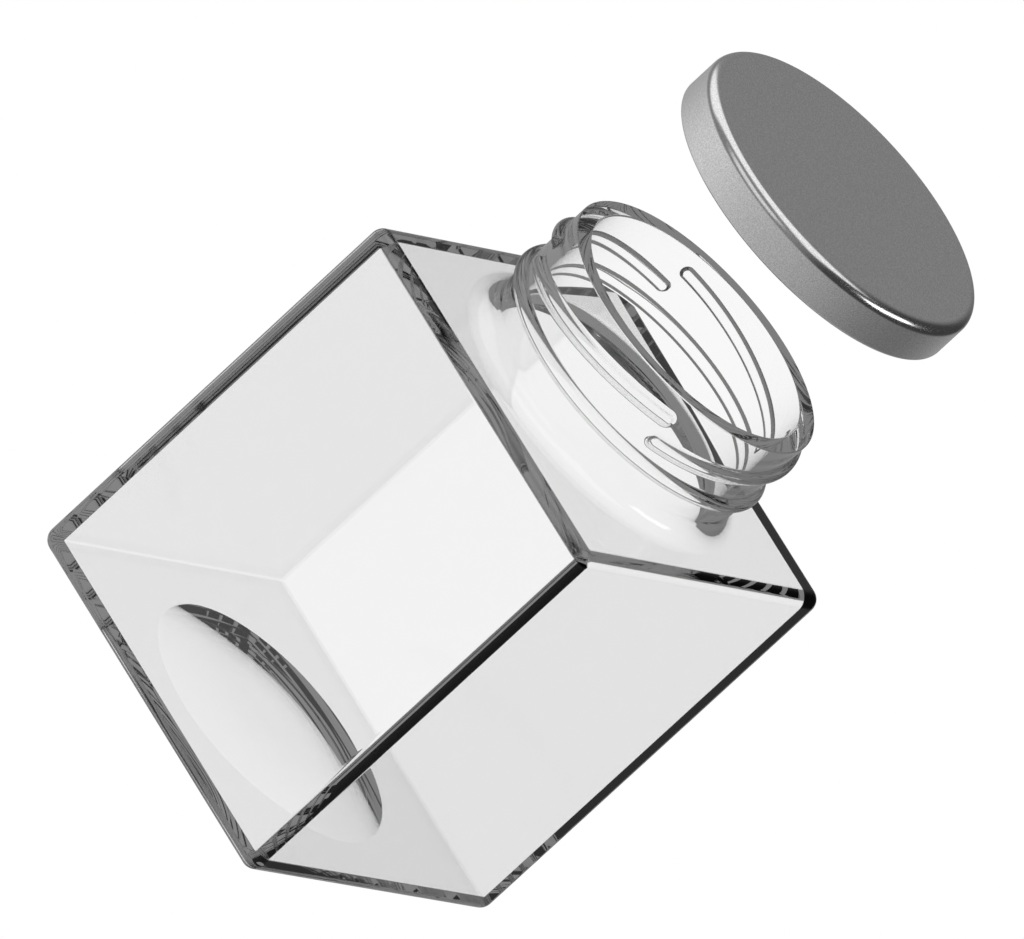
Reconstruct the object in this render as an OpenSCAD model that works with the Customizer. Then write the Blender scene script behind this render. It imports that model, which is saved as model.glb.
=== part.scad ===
// Square glass specimen jar with a four-start twist-off neck and a round metal lid.
// Units are millimetres, +Z is up, the origin is the centre of the base.
// The lid is drawn raised clear of the neck, which is its rest position here.

/* [Jar body] */
// side of the square body
body_w = 103.2; // [80:0.1:130]
// height of the body from the base to the top of the shoulder plate
body_h = 118.8; // [90:0.1:150]
// radius of the outer edges of the body
edge_r = 3.6; // [1:0.1:6]
// thickness of the side walls
wall_t = 4.3; // [2.5:0.1:6]
// thickness of the floor outside the push-up
floor_t = 4.1; // [3:0.1:8]
// thickness of the shoulder plate
shoulder_t = 4.5; // [2.5:0.1:6]
// radius of the inner edges of the body
inner_r = 0.4; // [0.3:0.1:3]
// radius of the push-up under the base
punt_r = 35.1; // [25:0.1:40]
// height of the push-up at its middle
punt_h = 2.5; // [1:0.1:4]

/* [Neck] */
// radius of the mouth
bore_r = 33.7; // [30:0.1:36]
// outer radius of the neck between the threads
neck_r = 38.4; // [36:0.1:40]
// height of the rim above the shoulder
neck_h = 32.2; // [25:0.1:40]
// outer rounding of the rim
rim_r_out = 0.4; // [0.2:0.1:2.5]
// inner rounding of the rim
rim_r_in = 0.4; // [0.2:0.1:2]
// radius of the sweep from the shoulder up to the neck
neck_sweep_r = 4.4; // [2:0.1:6]
// rounding inside, where the mouth meets the shoulder plate
mouth_round_r = 8.8; // [2:0.1:10]
// height of the bead ring above the shoulder
bead_z = 12.8; // [10:0.1:16]
// radius of the bead's round section
bead_r = 2; // [1:0.1:2.5]

/* [Thread] */
// number of thread starts, with one lug on the lid for each
starts = 4; // [3:1:6]
// height of the middle of each thread start above the shoulder
thread_z = 22.3; // [18:0.1:25]
// slope of each thread start in degrees
thread_tilt = 7; // [4:0.5:10]
// radius of the thread's round section
thread_r = 2; // [1.4:0.1:2.5]
// radius of the circle the thread's section is centred on
thread_path_r = 38.2; // [37:0.1:39]
// angle each thread start covers, in degrees
thread_span = 86; // [60:0.5:89]

/* [Lid] */
// outer radius of the lid
lid_r = 43; // [41:0.1:46]
// height of the lid
lid_h = 11.7; // [10:0.1:14]
// outer rounding of the lid's top edge
lid_round_r = 2.4; // [1:0.1:4]
// thickness of the sheet metal
sheet_t = 0.4; // [0.2:0.05:0.8]
// radius of the curled bottom edge
curl_r = 0.8; // [0.5:0.05:1.2]
// distance from the lid's axis to the tips of its lugs
lug_tip_r = 39.7; // [39:0.1:40]
// thickness of a lug
lug_t = 0.9; // [0.6:0.1:1.5]
// angle each lug covers, in degrees
lug_span = 6; // [4:0.5:10]
// direction of the first lug in degrees, just past the high end of a thread start
lug_angle = -38.5; // [-40:0.5:-30]
// height of the lid's top above the shoulder at rest
lid_top_z = 84; // [50:0.1:120]

/* [Liner] */
// radius of the liner
liner_r = 40.4; // [38:0.1:42]
// thickness of the backing disc
backing_t = 0.9; // [0.5:0.1:2]
// thickness of the facing disc
facing_t = 0.3; // [0.1:0.05:0.5]

/* [Hidden] */
$fn = 96;
eps = 0.01;
cut = 1;
cavity_w = body_w - 2 * wall_t;
cavity_h = body_h - floor_t - shoulder_t;
rim_z = body_h + neck_h;
lid_z = body_h + lid_top_z - lid_h;
start_step = 360 / starts;
// the neck is sunk this far into the shoulder plate, so that the two fuse
neck_root = 2;

// box with every edge rounded, standing on z = 0 and centred on the axis
module soft_box(w, h, r) {
  m = w / 2 - r;
  translate([-m, -m, 0]) cube([2 * m, 2 * m, h]);
  translate([-m - r, -m, r]) cube([w, 2 * m, h - 2 * r]);
  translate([-m, -m - r, r]) cube([2 * m, w, h - 2 * r]);
  for (x = [-m, m], y = [-m, m]) {
    translate([x, y, r]) cylinder(r = r, h = h - 2 * r);
    translate([x, y, r]) sphere(r = r);
    translate([x, y, h - r]) sphere(r = r);
  }
  for (s = [-m, m], z = [r, h - r]) {
    translate([-m, s, z]) rotate([0, 90, 0]) cylinder(r = r, h = 2 * m);
    translate([s, m, z]) rotate([90, 0, 0]) cylinder(r = r, h = 2 * m);
  }
}

// half section of the neck's outer shape, from inside the shoulder plate to the rim
module neck_section() {
  translate([0, body_h - neck_root]) square([neck_r, neck_h + neck_root - rim_r_out]);
  translate([0, rim_z - rim_r_out - eps]) square([neck_r - rim_r_out, rim_r_out + eps]);
  translate([neck_r - rim_r_out, rim_z - rim_r_out]) circle(r = rim_r_out);
  difference() {
    translate([neck_r - eps, body_h - neck_root])
      square([neck_sweep_r + eps, neck_sweep_r + neck_root]);
    translate([neck_r + neck_sweep_r, body_h + neck_sweep_r]) circle(r = neck_sweep_r);
  }
}

// half section of the space inside the mouth, opening out at the rim and at the shoulder
module mouth_section() {
  low = body_h - shoulder_t;
  translate([0, low - cut]) square([bore_r, neck_h + shoulder_t + 2 * cut]);
  difference() {
    translate([bore_r - eps, low - eps]) square([mouth_round_r + eps, mouth_round_r + eps]);
    translate([bore_r + mouth_round_r, low + mouth_round_r]) circle(r = mouth_round_r);
  }
  difference() {
    translate([bore_r - eps, rim_z - rim_r_in]) square([rim_r_in + eps, rim_r_in + cut]);
    translate([bore_r + rim_r_in, rim_z - rim_r_in]) circle(r = rim_r_in);
  }
}

// one thread start: a tilted arc with a round end cap at each end
module thread_start() {
  rotate([thread_tilt, 0, 0]) {
    rotate([0, 0, -thread_span / 2])
      rotate_extrude(angle = thread_span)
        translate([thread_path_r, 0]) circle(r = thread_r);
    for (s = [-1, 1])
      rotate([0, 0, s * thread_span / 2]) translate([thread_path_r, 0, 0]) sphere(r = thread_r);
  }
}

// hollow under the base: a shallow cap of a large ball
module push_up() {
  ball_r = (punt_r * punt_r + punt_h * punt_h) / (2 * punt_h);
  rotate_extrude()
    intersection() {
      translate([0, -cut]) square([punt_r, punt_h + 2 * cut]);
      translate([0, punt_h - ball_r]) circle(r = ball_r, $fn = 1440);
    }
}

module glass_jar() {
  color([0.9, 0.93, 0.94, 0.35])
  difference() {
    union() {
      soft_box(body_w, body_h, edge_r);
      rotate_extrude() neck_section();
      translate([0, 0, body_h + bead_z]) rotate_extrude() translate([neck_r, 0]) circle(r = bead_r);
      translate([0, 0, body_h + thread_z])
        for (i = [0 : starts - 1]) rotate([0, 0, i * start_step]) thread_start();
    }
    translate([0, 0, floor_t]) soft_box(cavity_w, cavity_h, inner_r);
    rotate_extrude() mouth_section();
    push_up();
  }
}

// half section of the lid's sheet metal, with its curled bottom edge
module lid_section() {
  top = lid_z + lid_h;
  difference() {
    union() {
      translate([0, lid_z + curl_r]) square([lid_r, lid_h - curl_r - lid_round_r]);
      translate([0, top - lid_round_r - eps]) square([lid_r - lid_round_r, lid_round_r + eps]);
      translate([lid_r - lid_round_r, top - lid_round_r]) circle(r = lid_round_r);
    }
    translate([-cut, lid_z]) square([lid_r - sheet_t + cut, lid_h - lid_round_r]);
    translate([-cut, lid_z]) square([lid_r - lid_round_r + cut, lid_h - sheet_t]);
    translate([lid_r - lid_round_r, top - lid_round_r]) circle(r = lid_round_r - sheet_t);
    translate([-2 * cut, lid_z]) square([2 * cut, 2 * lid_h]);
  }
  translate([lid_r - curl_r, lid_z + curl_r]) circle(r = curl_r);
}

// half section of a lug: a flat tongue from the curl with a round nose
module lug_section() {
  nose = lug_t / 2;
  translate([lug_tip_r + nose, lid_z]) square([lid_r - curl_r - lug_tip_r - nose, lug_t]);
  translate([lug_tip_r + nose, lid_z + nose]) circle(r = nose);
}

module lid_shell() {
  color([0.62, 0.63, 0.64]) {
    rotate_extrude() lid_section();
    for (i = [0 : starts - 1])
      rotate([0, 0, lug_angle + i * start_step - lug_span / 2])
        rotate_extrude(angle = lug_span) lug_section();
  }
}

module liner_backing() {
  color([0.86, 0.84, 0.78])
    translate([0, 0, lid_z + lid_h - sheet_t - backing_t]) cylinder(r = liner_r, h = backing_t);
}

module liner_facing() {
  color([0.95, 0.95, 0.93])
    translate([0, 0, lid_z + lid_h - sheet_t - backing_t - facing_t])
      cylinder(r = liner_r, h = facing_t);
}

glass_jar();
lid_shell();
liner_backing();
liner_facing();
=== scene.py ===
import math

import bpy
import numpy as np
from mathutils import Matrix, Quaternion, Vector


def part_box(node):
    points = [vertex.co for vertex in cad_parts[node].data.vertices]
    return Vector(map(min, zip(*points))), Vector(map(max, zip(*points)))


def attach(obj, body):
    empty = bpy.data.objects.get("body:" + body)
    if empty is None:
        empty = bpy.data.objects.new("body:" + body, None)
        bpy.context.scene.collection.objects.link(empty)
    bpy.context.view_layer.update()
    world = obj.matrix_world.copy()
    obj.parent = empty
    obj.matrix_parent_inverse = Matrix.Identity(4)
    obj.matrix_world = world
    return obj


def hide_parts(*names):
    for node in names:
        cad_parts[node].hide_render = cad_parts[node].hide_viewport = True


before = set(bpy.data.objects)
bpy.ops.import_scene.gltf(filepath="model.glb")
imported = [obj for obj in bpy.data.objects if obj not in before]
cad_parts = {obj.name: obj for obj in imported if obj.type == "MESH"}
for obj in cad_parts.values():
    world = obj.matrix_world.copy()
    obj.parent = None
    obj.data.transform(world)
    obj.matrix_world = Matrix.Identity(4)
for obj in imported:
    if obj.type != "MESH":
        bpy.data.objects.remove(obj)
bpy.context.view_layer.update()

# ---- sizes in metres and angles in radians ----
glass_lo, glass_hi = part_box("glass_jar")
lid_lo, lid_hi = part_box("lid_shell")

# jar body
BODY_HALF = glass_hi.x
BODY_TOP = 0.1188
EDGE_R = 0.0036
WALL = 0.0043
FLOOR = 0.0041
SHOULDER = 0.0045
INNER_R = 0.0004
# push-up under the base: a dome that falls away with this power of the radius
PUNT_R = 0.0351
PUNT_H = 0.0025
PUNT_POWER = 3
PUNT_LIP = 0.0006

# neck
RIM_Z = glass_hi.z
BORE_R = 0.0337
NECK_R = 0.0384
RIM_R_OUT = 0.0003
RIM_R_IN = 0.0004
SWEEP_H = 0.0044
SWEEP_W = 0.005
MOUTH_R = 0.0088
BEAD_Z = BODY_TOP + 0.01283
BEAD_H = 0.00201
BEAD_W = 0.00235
# share of the bead's section that its round top takes, the rest being its fillets
BEAD_SHARE = 0.82

# thread
STARTS = 4
START_STEP = 2 * math.pi / STARTS
THREAD_Z = BODY_TOP + 0.0223
THREAD_TILT = math.radians(7)
THREAD_SPAN = math.radians(86.7)
THREAD_H = 0.0018
THREAD_W = 0.0026
THREAD_SHARE = 0.58
# stretch of the neck that holds all of the thread, and the rows' distance in it
THREAD_LOW = BODY_TOP + 0.0160
THREAD_HIGH = BODY_TOP + 0.0286
THREAD_STEP = 0.00015

# lid
LID_R = lid_hi.x
LID_Z = lid_lo.z
LID_TOP = lid_hi.z
LID_ROUND = 0.0028
SHEET = 0.0004
CURL_R = 0.0008
LUG_ANGLE = math.radians(-38.5)
LUG_SPAN = math.radians(6)
LUG_FADE = math.radians(1.5)
LUG_DEPTH = 0.0017
# how fast a lug fades out round the curl
LUG_POWER = 1.6

# liner
BOARD_SOFT = 0.00025
FILM_SOFT = 0.0001
# depth of the ring that the rim has pressed into the film
PRESSED = 0.00012

# ---- camera: long lens, rolled so that the jar leans to the right ----
VIEW_AZ = math.radians(26.7)
VIEW_EL = math.radians(22.03)
VIEW_ROLL = math.radians(47.41)
VIEW_HEIGHT = 0.0918
VIEW_LEFT = 0.0046
LENS = 1300
SENSOR = 36
FRAME_WIDTH = 0.2424
RIGHTWARD = Vector((math.cos(VIEW_AZ), math.sin(VIEW_AZ), 0))
FRONTWARD = Vector((math.sin(VIEW_AZ), -math.cos(VIEW_AZ), 0))
UPWARD = Vector((0, 0, 1))


def make_camera():
    data = bpy.data.cameras.new("camera")
    data.lens = LENS
    data.sensor_width = SENSOR
    data.clip_start = 0.1
    data.clip_end = 100
    cam = bpy.data.objects.new("camera", data)
    bpy.context.scene.collection.objects.link(cam)
    back = FRONTWARD * math.cos(VIEW_EL) + UPWARD * math.sin(VIEW_EL)
    target = UPWARD * VIEW_HEIGHT - RIGHTWARD * VIEW_LEFT
    cam.location = target + back * (FRAME_WIDTH * LENS / SENSOR)
    cam.rotation_mode = "QUATERNION"
    cam.rotation_quaternion = (-back).to_track_quat("-Z", "Y") @ Quaternion((0, 0, 1), VIEW_ROLL)
    bpy.context.scene.camera = cam


# ---- meshes: rings of points with exact normals, lofted into closed skins ----
QUARTER = 72
COLUMNS = 4 * QUARTER
CORNER_STEPS = 12
# columns stand closer together near the diagonals, where the thread starts end
DENSE = 0.75
COLUMN_TURN = np.arange(COLUMNS) * 2 * np.pi / COLUMNS
THETA = COLUMN_TURN + DENSE / 4 * np.sin(4 * COLUMN_TURN)
OUT = np.stack([np.cos(THETA), np.sin(THETA)], 1)
# a square ring's corners stay at least this round, so that no two points fall together
LEAST_CORNER = 2e-5


def square_columns():
    """For each column, its base point on a unit square and the way its corner rounding faces."""
    base, face = [], []
    side_steps = QUARTER - CORNER_STEPS
    for column in range(COLUMNS):
        turn = (column // QUARTER) % 4 * math.pi / 2
        step = column % QUARTER - QUARTER / 2
        if abs(step) <= CORNER_STEPS / 2:
            phi = math.pi / 4 + step / CORNER_STEPS * math.pi / 2
            b, f = (1, 1), (math.cos(phi), math.sin(phi))
        elif step < 0:
            b, f = (1, (step + QUARTER / 2) / (side_steps / 2)), (1, 0)
        else:
            b, f = ((QUARTER / 2 - step) / (side_steps / 2), 1), (0, 1)
        c, s = math.cos(turn), math.sin(turn)
        base.append((c * b[0] - s * b[1], s * b[0] + c * b[1]))
        face.append((c * f[0] - s * f[1], s * f[0] + c * f[1]))
    return np.array(base), np.array(face)


SQUARE_BASE, SQUARE_FACE = square_columns()


def circle_row(radius, z, out, up):
    """A round ring, with the normal's outward and upward parts."""
    points = np.column_stack([OUT * radius, np.full(COLUMNS, z)])
    return points, np.column_stack([OUT * out, np.full(COLUMNS, up)])


def square_row(half, corner, z, out, up):
    """A square ring whose corners are rounded about points half away from the axis."""
    ring = SQUARE_BASE * half + SQUARE_FACE * max(corner, LEAST_CORNER)
    points = np.column_stack([ring, np.full(COLUMNS, z)])
    return points, np.column_stack([SQUARE_FACE * out, np.full(COLUMNS, up)])


def arc(start, end, steps):
    """Angles from start to end in degrees, both ends in it, in radians."""
    return [math.radians(start + (end - start) * i / steps) for i in range(steps + 1)]


def round_rows(middle, z, radius, angles, wide=1, rise=1):
    """Rings along an arc about a circle at middle and z, for angles up from straight outwards.

    wide and rise of -1 turn the arc towards the axis and downwards, and its normals with it.
    """
    rows = []
    for t in angles:
        out, up = wide * math.cos(t), rise * math.sin(t)
        rows.append(circle_row(middle + radius * out, z + radius * up, out, up))
    return rows


def skin(name, rows, bottom, top, material):
    """A closed mesh lofted through rows, shut by a fan to the axis at bottom and at top.

    bottom and top are a height and the way that the surface faces there, 1 for up.
    """
    ends = [((0, 0, z), (0, 0, up)) for z, up in (bottom, top)]
    points = np.concatenate([r[0] for r in rows] + [[end[0]] for end in ends])
    normals = np.concatenate([r[1] for r in rows] + [[end[1]] for end in ends])
    normals = normals / np.linalg.norm(normals, axis=1, keepdims=True)
    faces = []
    for k in range(len(rows) - 1):
        a, b = k * COLUMNS, (k + 1) * COLUMNS
        for j in range(COLUMNS):
            n = (j + 1) % COLUMNS
            faces.append((a + j, a + n, b + n, b + j))
    first = len(rows) * COLUMNS
    last = first + 1
    end = first - COLUMNS
    for j in range(COLUMNS):
        n = (j + 1) % COLUMNS
        faces.append((first, n, j))
        faces.append((last, end + j, end + n))
    mesh = bpy.data.meshes.new(name)
    mesh.from_pydata(points.tolist(), [], faces)
    mesh.shade_smooth()
    mesh.normals_split_custom_set_from_vertices(normals.tolist())
    mesh.materials.append(material)
    ob = bpy.data.objects.new(name, mesh)
    bpy.context.scene.collection.objects.link(ob)
    return ob


def place(ob, body, node):
    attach(ob, body)
    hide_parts(node)


# ---- glass jar ----
def ridge_radii(height, width, share):
    """Half angle of a ridge's round top, and the radii of the top and of its root fillets."""
    tilt = 2 * math.atan(height / width)
    both = height / (1 - math.cos(tilt))
    return tilt, both * share, both * (1 - share)


def ridge(away, height, width, share):
    """Height of a ridge with a round top and filleted roots, at a distance from its middle."""
    tilt, top_r, root_r = ridge_radii(height, width, share)
    join = top_r * math.sin(tilt)
    near = np.minimum(away, join)
    far = np.clip(width - away, 0, width - join)
    top = height - top_r + np.sqrt(top_r**2 - near**2)
    root = root_r - np.sqrt(np.maximum(root_r**2 - far**2, 0))
    return np.where(away < join, top, root)


def thread_lift(theta, z):
    """How far the thread starts stand out of the neck at a place on it."""
    lift = np.zeros_like(z)
    for i in range(STARTS):
        turn = (theta - i * START_STEP + np.pi) % (2 * np.pi) - np.pi
        along = np.clip(turn, -THREAD_SPAN / 2, THREAD_SPAN / 2)
        rise = NECK_R * np.sin(along) * math.sin(THREAD_TILT)
        beyond = (turn - along) * NECK_R
        away = np.hypot((z - THREAD_Z - rise) * math.cos(THREAD_TILT), beyond)
        lift = np.maximum(lift, ridge(away, THREAD_H, THREAD_W, THREAD_SHARE))
    return lift


def thread_rows():
    """The stretch of the neck that carries the thread starts."""
    zs = np.linspace(THREAD_LOW, THREAD_HIGH, round((THREAD_HIGH - THREAD_LOW) / THREAD_STEP))
    grid_z, grid_t = np.meshgrid(zs, THETA, indexing="ij")
    # slopes come from the lift this far to either side
    near = 2e-5
    turn = near / NECK_R
    radius = NECK_R + thread_lift(grid_t, grid_z)
    dz = (thread_lift(grid_t, grid_z + near) - thread_lift(grid_t, grid_z - near)) / (2 * near)
    ds = (thread_lift(grid_t + turn, grid_z) - thread_lift(grid_t - turn, grid_z)) / (2 * near)
    side = np.stack([-OUT[:, 1], OUT[:, 0]], 1)
    rows = []
    for k, z in enumerate(zs):
        points = np.column_stack([OUT * radius[k][:, None], np.full(COLUMNS, z)])
        normals = np.column_stack([OUT - side * ds[k][:, None], -dz[k]])
        rows.append((points, normals))
    return rows


def bead_rows():
    """The ring below the thread: a fillet, a round top and a fillet."""
    tilt, top_r, root_r = ridge_radii(BEAD_H, BEAD_W, BEAD_SHARE)
    tilt = math.degrees(tilt)
    rows = []
    for t in arc(0, tilt, 6):
        r = NECK_R + root_r * (1 - math.cos(t))
        rows.append(circle_row(r, BEAD_Z - BEAD_W + root_r * math.sin(t), math.cos(t), -math.sin(t)))
    rows.extend(round_rows(NECK_R + BEAD_H - top_r, BEAD_Z, top_r, arc(-tilt, tilt, 20)[1:-1]))
    for t in arc(tilt, 0, 6):
        r = NECK_R + root_r * (1 - math.cos(t))
        rows.append(circle_row(r, BEAD_Z + BEAD_W - root_r * math.sin(t), math.cos(t), math.sin(t)))
    return rows


def push_up_rows():
    """The shallow dome under the base, steepest at its rim, where a small rounding meets the base."""
    rows = []
    dome_steps = 48
    lip_steps = 6
    rim_slope = PUNT_POWER * PUNT_H / PUNT_R
    for k in range(1, dome_steps + 1):
        share = k / dome_steps * (1 - PUNT_LIP / PUNT_R)
        slope = rim_slope * share ** (PUNT_POWER - 1)
        rows.append(circle_row(PUNT_R * share, PUNT_H * (1 - share**PUNT_POWER), -slope, -1))
    start = PUNT_H * (1 - share**PUNT_POWER)
    for k in range(1, lip_steps + 1):
        share = k / lip_steps
        z = start - rim_slope * PUNT_LIP * (share - share**2 / 2)
        r = PUNT_R - PUNT_LIP * (1 - share)
        rows.append(circle_row(r, max(z, 0), -rim_slope * (1 - share), -1))
    return rows


def body_rows():
    """The outside of the body, from the edge of the base to the edge of the shoulder."""
    flat = BODY_HALF - EDGE_R
    rows = []
    for t in arc(0, 90, 8):
        z = EDGE_R * (1 - math.cos(t))
        rows.append(square_row(flat, EDGE_R * math.sin(t), z, math.sin(t), -math.cos(t)))
    for t in arc(90, 180, 8):
        z = BODY_TOP - EDGE_R * (1 + math.cos(t))
        rows.append(square_row(flat, EDGE_R * math.sin(t), z, math.sin(t), -math.cos(t)))
    return rows


def sweep_rows():
    """The sweep from the shoulder up to the neck."""
    rows = []
    for t in arc(0, 90, 16):
        r = NECK_R + SWEEP_W * (1 - math.sin(t))
        z = BODY_TOP + SWEEP_H * (1 - math.cos(t))
        rows.append(circle_row(r, z, math.sin(t) * SWEEP_H, math.cos(t) * SWEEP_W))
    return rows


def cavity_rows():
    """The inside, from the mouth's rounding at the shoulder plate down to the floor."""
    inner = BODY_HALF - WALL - INNER_R
    under = BODY_TOP - SHOULDER
    rows = round_rows(BORE_R + MOUTH_R, under + MOUTH_R, MOUTH_R, arc(0, 90, 20), -1, -1)
    for t in arc(0, 90, 6):
        z = under - INNER_R * (1 - math.cos(t))
        rows.append(square_row(inner, INNER_R * math.sin(t), z, -math.sin(t), -math.cos(t)))
    for t in arc(90, 180, 6):
        z = FLOOR + INNER_R * (1 + math.cos(t))
        rows.append(square_row(inner, INNER_R * math.sin(t), z, -math.sin(t), -math.cos(t)))
    rows.append(circle_row(PUNT_R, FLOOR, 0, 1))
    rows.append(circle_row(PUNT_R / 2, FLOOR, 0, 1))
    return rows


def glass_rows():
    rows = push_up_rows() + body_rows() + sweep_rows() + bead_rows() + thread_rows()
    rows.extend(round_rows(NECK_R - RIM_R_OUT, RIM_Z - RIM_R_OUT, RIM_R_OUT, arc(0, 90, 8)))
    rows.extend(round_rows(BORE_R + RIM_R_IN, RIM_Z - RIM_R_IN, RIM_R_IN, arc(90, 180, 8)))
    return rows + cavity_rows()


# ---- lid ----
def lug_share(theta):
    """1 over the middle of each lug, falling smoothly to 0 at its sides."""
    share = np.zeros_like(theta)
    for i in range(STARTS):
        away = np.abs((theta - LUG_ANGLE - i * START_STEP + np.pi) % (2 * np.pi) - np.pi)
        edge = np.clip((LUG_SPAN / 2 + LUG_FADE - away) / (2 * LUG_FADE), 0, 1)
        share = np.maximum(share, edge * edge * (3 - 2 * edge))
    return share


def curl_point(theta, around):
    """A place on the rolled bottom edge, pressed inwards at the lugs."""
    inwards = np.maximum(-np.cos(around), 0) ** LUG_POWER
    radius = LID_R - CURL_R + CURL_R * np.cos(around) - LUG_DEPTH * lug_share(theta) * inwards
    height = LID_Z + CURL_R + CURL_R * np.sin(around)
    return np.stack([np.cos(theta) * radius, np.sin(theta) * radius, height + 0 * radius], 1)


def curl_row(around):
    step = 0.002
    flat = np.full(COLUMNS, around)
    along = curl_point(THETA + step, flat) - curl_point(THETA - step, flat)
    across = curl_point(THETA, flat + step) - curl_point(THETA, flat - step)
    return curl_point(THETA, flat), np.cross(along, across)


def lid_rows():
    """Under the top, down the inside, round the rolled edge, up the outside and over the top."""
    middle = LID_R - LID_ROUND
    rounding_z = LID_TOP - LID_ROUND
    inner = LID_ROUND - SHEET
    shares = (0.3, 0.6, 0.9)
    rows = [circle_row(middle * k, LID_TOP - SHEET, 0, -1) for k in shares]
    for t in arc(0, 90, 8):
        r = middle + inner * math.sin(t)
        rows.append(circle_row(r, rounding_z + inner * math.cos(t), -math.sin(t), -math.cos(t)))
    # the angle round the curl at which the skirt's inner face runs into it
    touch = math.acos(1 - SHEET / CURL_R)
    rows.append(circle_row(LID_R - SHEET, LID_Z + CURL_R * (1 + math.sin(touch)), -1, 0))
    for t in arc(math.degrees(touch), 360, 40):
        rows.append(curl_row(t))
    rows.append(circle_row(LID_R, LID_Z + (LID_TOP - LID_Z - LID_ROUND) / 2, 1, 0))
    rows.extend(round_rows(middle, rounding_z, LID_ROUND, arc(0, 90, 16)))
    rows.extend([circle_row(middle * k, LID_TOP, 0, 1) for k in reversed(shares)])
    return rows


# ---- liner ----
def disc_rows(radius, low, high, soft):
    """A thin disc with rounded edges."""
    rows = [circle_row(radius / 2, low, 0, -1)]
    for t in arc(0, 90, 5):
        r = radius - soft * (1 - math.sin(t))
        rows.append(circle_row(r, low + soft * (1 - math.cos(t)), math.sin(t), -math.cos(t)))
    rows.extend(round_rows(radius - soft, high - soft, soft, arc(0, 90, 5)))
    rows.append(circle_row(radius / 2, high, 0, 1))
    return rows


def facing_rows(radius, low, high, soft):
    """The lower disc, with the ring the rim of the jar has pressed into it."""
    rows = []
    steps = 24
    middle = (BORE_R + NECK_R) / 2
    reach = 1.3 * (NECK_R - BORE_R) / 2
    spread = 1.4 * (NECK_R - BORE_R) / 2
    for k in range(steps + 1):
        off = spread * (2 * k / steps - 1)
        share = max(0, 1 - (off / reach) ** 2)
        slope = -PRESSED * 4 * share * off / reach**2
        rows.append(circle_row(middle + off, low + PRESSED * share**2, slope, -1))
    return rows + disc_rows(radius, low, high, soft)[1:]


# ---- materials ----
GLASS_IOR = 1.5
GLASS_RIPPLE = 0.000001
GLASS_RIPPLE_SCALE = 160
METAL_LEVEL = 0.8
METAL_GRAIN = 0.11
METAL_GRAIN_SCALE = 3800
METAL_BUMP = 0.000004
METAL_ROUGH = 0.2
BOARD_FIBRE_SCALE = 900
BOARD_CLOUD_SCALE = 120
BOARD_BUMP = 0.00005
FILM_PEEL_SCALE = 450
FILM_BUMP = 0.00003


class Graph:
    """Short calls that add linked nodes to one node tree."""

    def __init__(self, tree):
        self.tree = tree

    def add(self, kind, **settings):
        node = self.tree.nodes.new(kind)
        for key, value in settings.items():
            setattr(node, key, value)
        return node

    def put(self, socket, value):
        if isinstance(value, bpy.types.NodeSocket):
            self.tree.links.new(value, socket)
        else:
            socket.default_value = value

    def calc(self, operation, *values):
        node = self.add("ShaderNodeMath", operation=operation)
        for socket, value in zip(node.inputs, values):
            self.put(socket, value)
        return node.outputs[0]

    def times(self, first, second):
        return self.calc("MULTIPLY", first, second)

    def line(self, value, slope, start):
        """value times slope, plus start."""
        return self.calc("MULTIPLY_ADD", value, slope, start)

    def dot(self, vector, way):
        node = self.add("ShaderNodeVectorMath", operation="DOT_PRODUCT")
        self.put(node.inputs[0], vector)
        self.put(node.inputs[1], tuple(way))
        return node.outputs["Value"]

    def step(self, value, low, high):
        """A smooth rise from 0 at low to 1 at high."""
        node = self.add("ShaderNodeMapRange", interpolation_type="SMOOTHSTEP")
        self.put(node.inputs["Value"], value)
        self.put(node.inputs["From Min"], low)
        self.put(node.inputs["From Max"], high)
        return node.outputs[0]

    def blend(self, share, first, second):
        """A number between first and second."""
        node = self.add("ShaderNodeMix", data_type="FLOAT")
        self.put(node.inputs["Factor"], share)
        self.put(node.inputs["A"], first)
        self.put(node.inputs["B"], second)
        return node.outputs[0]

    def noise(self, vector, scale, detail):
        node = self.add("ShaderNodeTexNoise")
        self.put(node.inputs["Vector"], vector)
        node.inputs["Scale"].default_value = scale
        node.inputs["Detail"].default_value = detail
        return node.outputs["Fac"]

    def grey(self, level):
        node = self.add("ShaderNodeCombineColor")
        for socket in node.inputs:
            self.put(socket, level)
        return node.outputs[0]

    def relief(self, height, distance):
        """A surface raised by height, which runs from 0 to 1, over distance."""
        node = self.add("ShaderNodeBump")
        node.inputs["Distance"].default_value = distance
        self.put(node.inputs["Height"], height)
        return node.outputs[0]


def new_material(name):
    """A material, its graph, its shader and the piece's own coordinates."""
    m = bpy.data.materials.new(name)
    m.use_nodes = True
    g = Graph(m.node_tree)
    spot = g.add("ShaderNodeTexCoord").outputs["Object"]
    return m, g, m.node_tree.nodes["Principled BSDF"], spot


def glass_material():
    """Clear, colourless glass with the faintest ripple in its surface."""
    m, g, p, spot = new_material("clear_glass")
    p.inputs["Base Color"].default_value = (1, 1, 1, 1)
    p.inputs["Roughness"].default_value = 0
    p.inputs["IOR"].default_value = GLASS_IOR
    p.inputs["Transmission Weight"].default_value = 1
    g.put(p.inputs["Normal"], g.relief(g.noise(spot, GLASS_RIPPLE_SCALE, 1), GLASS_RIPPLE))
    return m


def metal_material():
    """Satin metal with a fine, even grain."""
    m, g, p, spot = new_material("satin_metal")
    grain = g.noise(spot, METAL_GRAIN_SCALE, 2)
    level = g.blend(g.step(grain, 0.35, 0.65), METAL_LEVEL - METAL_GRAIN, METAL_LEVEL + METAL_GRAIN)
    g.put(p.inputs["Base Color"], g.grey(level))
    p.inputs["Roughness"].default_value = METAL_ROUGH
    p.inputs["Metallic"].default_value = 1
    g.put(p.inputs["Normal"], g.relief(grain, METAL_BUMP))
    return m


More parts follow.
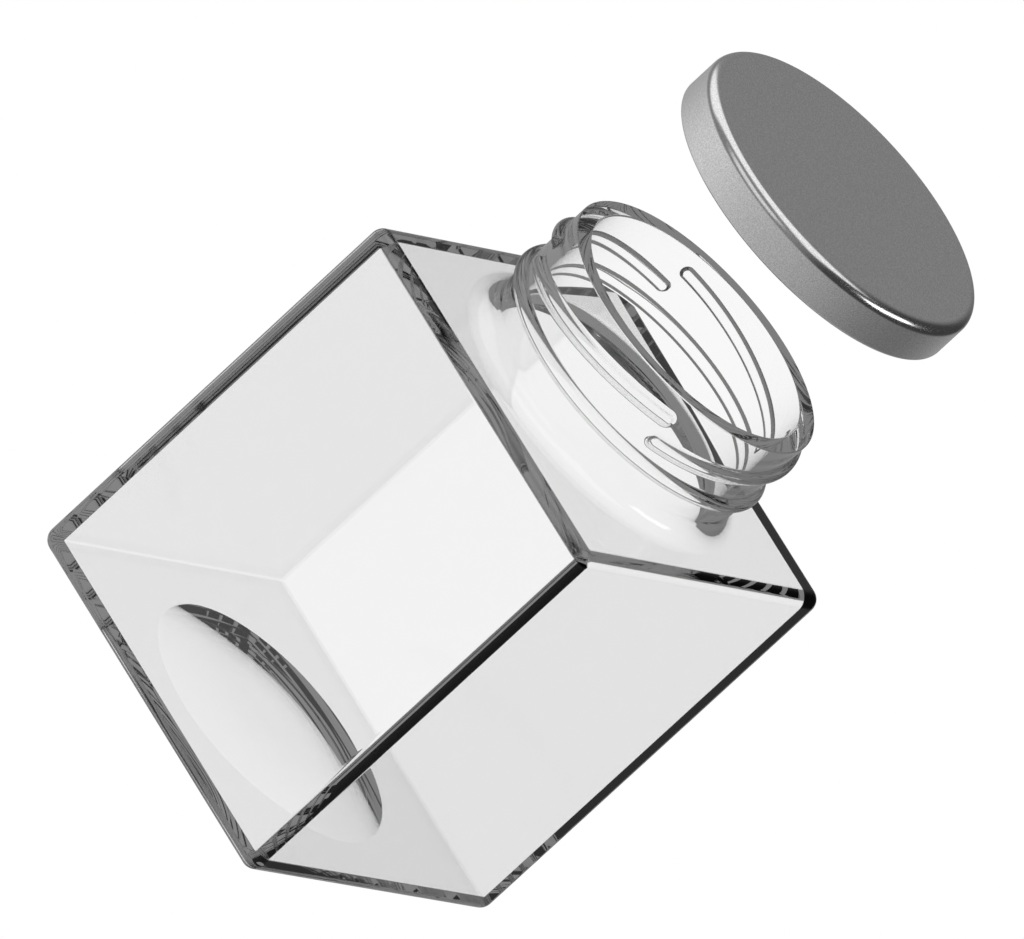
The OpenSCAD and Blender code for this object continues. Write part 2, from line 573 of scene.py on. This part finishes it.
def board_material():
    """Pale grey board with short fibres in it."""
    m, g, p, spot = new_material("liner_board")
    fibre = g.noise(spot, BOARD_FIBRE_SCALE, 4)
    cloud = g.noise(spot, BOARD_CLOUD_SCALE, 2)
    level = g.times(g.blend(fibre, 0.58, 0.78), g.blend(cloud, 0.92, 1.04))
    g.put(p.inputs["Base Color"], g.grey(level))
    p.inputs["Roughness"].default_value = 0.9
    g.put(p.inputs["Normal"], g.relief(fibre, BOARD_BUMP))
    return m


def film_material():
    """White film with a faint orange-peel surface."""
    m, g, p, spot = new_material("liner_film")
    peel = g.noise(spot, FILM_PEEL_SCALE, 2)
    g.put(p.inputs["Base Color"], g.grey(g.blend(peel, 0.78, 0.86)))
    p.inputs["Roughness"].default_value = 0.35
    g.put(p.inputs["Normal"], g.relief(peel, FILM_BUMP))
    return m


# ---- studio: what reflections see in each direction ----
def way_of(front, right, up):
    """Unit direction from its parts towards the viewer, to the right and up."""
    return (FRONTWARD * front + RIGHTWARD * right + UPWARD * up).normalized()


# below eye level: brighter to the left and in front
LOW_LEVEL = 0.46
LOW_SLOPE = -0.13
LOW_CURVE = -0.18
LOW_BACK = -0.10
# above eye level
HIGH_LEVEL = 0.22
HIGH_RIGHT = 0.04
# wide softbox overhead, reaching down to the left, and level across it from front to back
ROOF_LEVEL = 1.0
ROOF_ACROSS = way_of(0.72, -0.50, -0.07)
# small softbox to the left of the viewer
STRIP_WAY = way_of(0.68, -0.6, 0.42)
STRIP_LEVEL = 0.6
# lamp to the right: its middle and the two ways its sides run
LAMP_WAY = way_of(0.04, 0.87, 0.5)
LAMP_ACROSS = way_of(1, -0.05, 0)
LAMP_UP = LAMP_ACROSS.cross(LAMP_WAY).normalized()
LAMP_LEVEL = 3.0
# light that has turned round inside the glass
INSIDE_LEVEL = 0.21
# paths end after this many turns, which is what makes the jar's edges dark
BOUNCES = 14


def backdrop_light(g, right, front, up):
    """The studio without its softboxes and lamp."""
    low = g.line(right, LOW_SLOPE, LOW_LEVEL)
    low = g.line(g.calc("POWER", right, 3), LOW_CURVE, low)
    low = g.line(g.step(front, 0.2, -0.8), LOW_BACK, low)
    high = g.blend(g.step(right, 0.0, 0.5), HIGH_LEVEL, HIGH_RIGHT)
    return g.blend(g.step(up, -0.33, -0.12), low, high)


def roof_share(g, way, right, front, up):
    across = g.dot(way, ROOF_ACROSS)
    inside = g.times(g.step(across, -0.47, -0.33), g.step(across, 0.45, 0.31))
    inside = g.times(inside, g.step(up, 0.0, 0.2))
    return g.times(inside, g.step(g.line(front, 0.5, right), 0.61, 0.49))


def strip_share(g, way, up):
    inside = g.times(g.step(g.dot(way, STRIP_WAY), 0.84, 0.95), g.step(up, 0.62, 0.48))
    return g.times(inside, g.step(up, 0.02, 0.2))


def lamp_share(g, way):
    across = g.calc("ABSOLUTE", g.dot(way, LAMP_ACROSS))
    above = g.calc("ABSOLUTE", g.dot(way, LAMP_UP))
    inside = g.times(g.step(across, 0.34, 0.26), g.step(above, 0.15, 0.11))
    return g.times(inside, g.step(g.dot(way, LAMP_WAY), 0.5, 0.6))


def studio_light(g, way):
    """Brightness of the studio in a direction, as reflections see it."""
    right = g.dot(way, RIGHTWARD)
    front = g.dot(way, FRONTWARD)
    up = g.dot(way, UPWARD)
    light = backdrop_light(g, right, front, up)
    light = g.blend(roof_share(g, way, right, front, up), light, ROOF_LEVEL)
    light = g.line(strip_share(g, way, up), STRIP_LEVEL, light)
    return g.line(lamp_share(g, way), LAMP_LEVEL, light)


def make_world():
    """White behind everything, and the studio for whatever a surface reflects."""
    world = bpy.data.worlds.new("studio")
    bpy.context.scene.world = world
    world.use_nodes = True
    g = Graph(world.node_tree)
    way = g.add("ShaderNodeTexCoord").outputs["Generated"]
    path = g.add("ShaderNodeLightPath")
    inside = g.calc("MINIMUM", path.outputs["Transmission Depth"], 1)
    reflected = g.calc("MINIMUM", path.outputs["Glossy Depth"], 1)
    light = g.blend(inside, studio_light(g, way), INSIDE_LEVEL)
    level = g.blend(reflected, 1.0, light)
    g.put(world.node_tree.nodes["Background"].inputs["Color"], level)


# ---- floor ----
FLOOR_HALF = 3
FLOOR_Z = -0.0004


def make_floor():
    """A plain white floor. Reflections see the studio instead."""
    h = FLOOR_HALF
    corners = [(x, y, FLOOR_Z) for x, y in ((-h, -h), (h, -h), (h, h), (-h, h))]
    mesh = bpy.data.meshes.new("floor")
    mesh.from_pydata(corners, [], [(0, 1, 2, 3)])
    ob = bpy.data.objects.new("floor", mesh)
    bpy.context.scene.collection.objects.link(ob)
    m = bpy.data.materials.new("floor")
    m.use_nodes = True
    nodes = m.node_tree.nodes
    nodes.remove(nodes["Principled BSDF"])
    g = Graph(m.node_tree)
    g.put(nodes["Material Output"].inputs["Surface"], g.add("ShaderNodeEmission").outputs[0])
    mesh.materials.append(m)
    ob.visible_glossy = False
    ob.visible_transmission = False
    ob.visible_diffuse = False


# ---- build ----
def make_glass():
    glass = skin("jar_glass", glass_rows(), (PUNT_H, -1), (FLOOR, 1), glass_material())
    place(glass, "jar", "glass_jar")


def make_lid():
    lid = skin("lid_metal", lid_rows(), (LID_TOP - SHEET, -1), (LID_TOP, 1), metal_material())
    place(lid, "lid", "lid_shell")


def make_liner():
    lo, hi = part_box("liner_backing")
    rows = disc_rows(hi.x, lo.z, hi.z, BOARD_SOFT)
    board = skin("liner_board", rows, (lo.z, -1), (hi.z, 1), board_material())
    place(board, "liner", "liner_backing")
    lo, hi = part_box("liner_facing")
    rows = facing_rows(hi.x, lo.z, hi.z, FILM_SOFT)
    film = skin("liner_film", rows, (lo.z, -1), (hi.z, 1), film_material())
    place(film, "liner", "liner_facing")


make_camera()
make_world()
make_floor()
make_glass()
make_lid()
make_liner()

scene = bpy.context.scene
scene.view_settings.view_transform = "Standard"
scene.cycles.max_bounces = BOUNCES
scene.cycles.transmission_bounces = BOUNCES
scene.cycles.glossy_bounces = BOUNCES
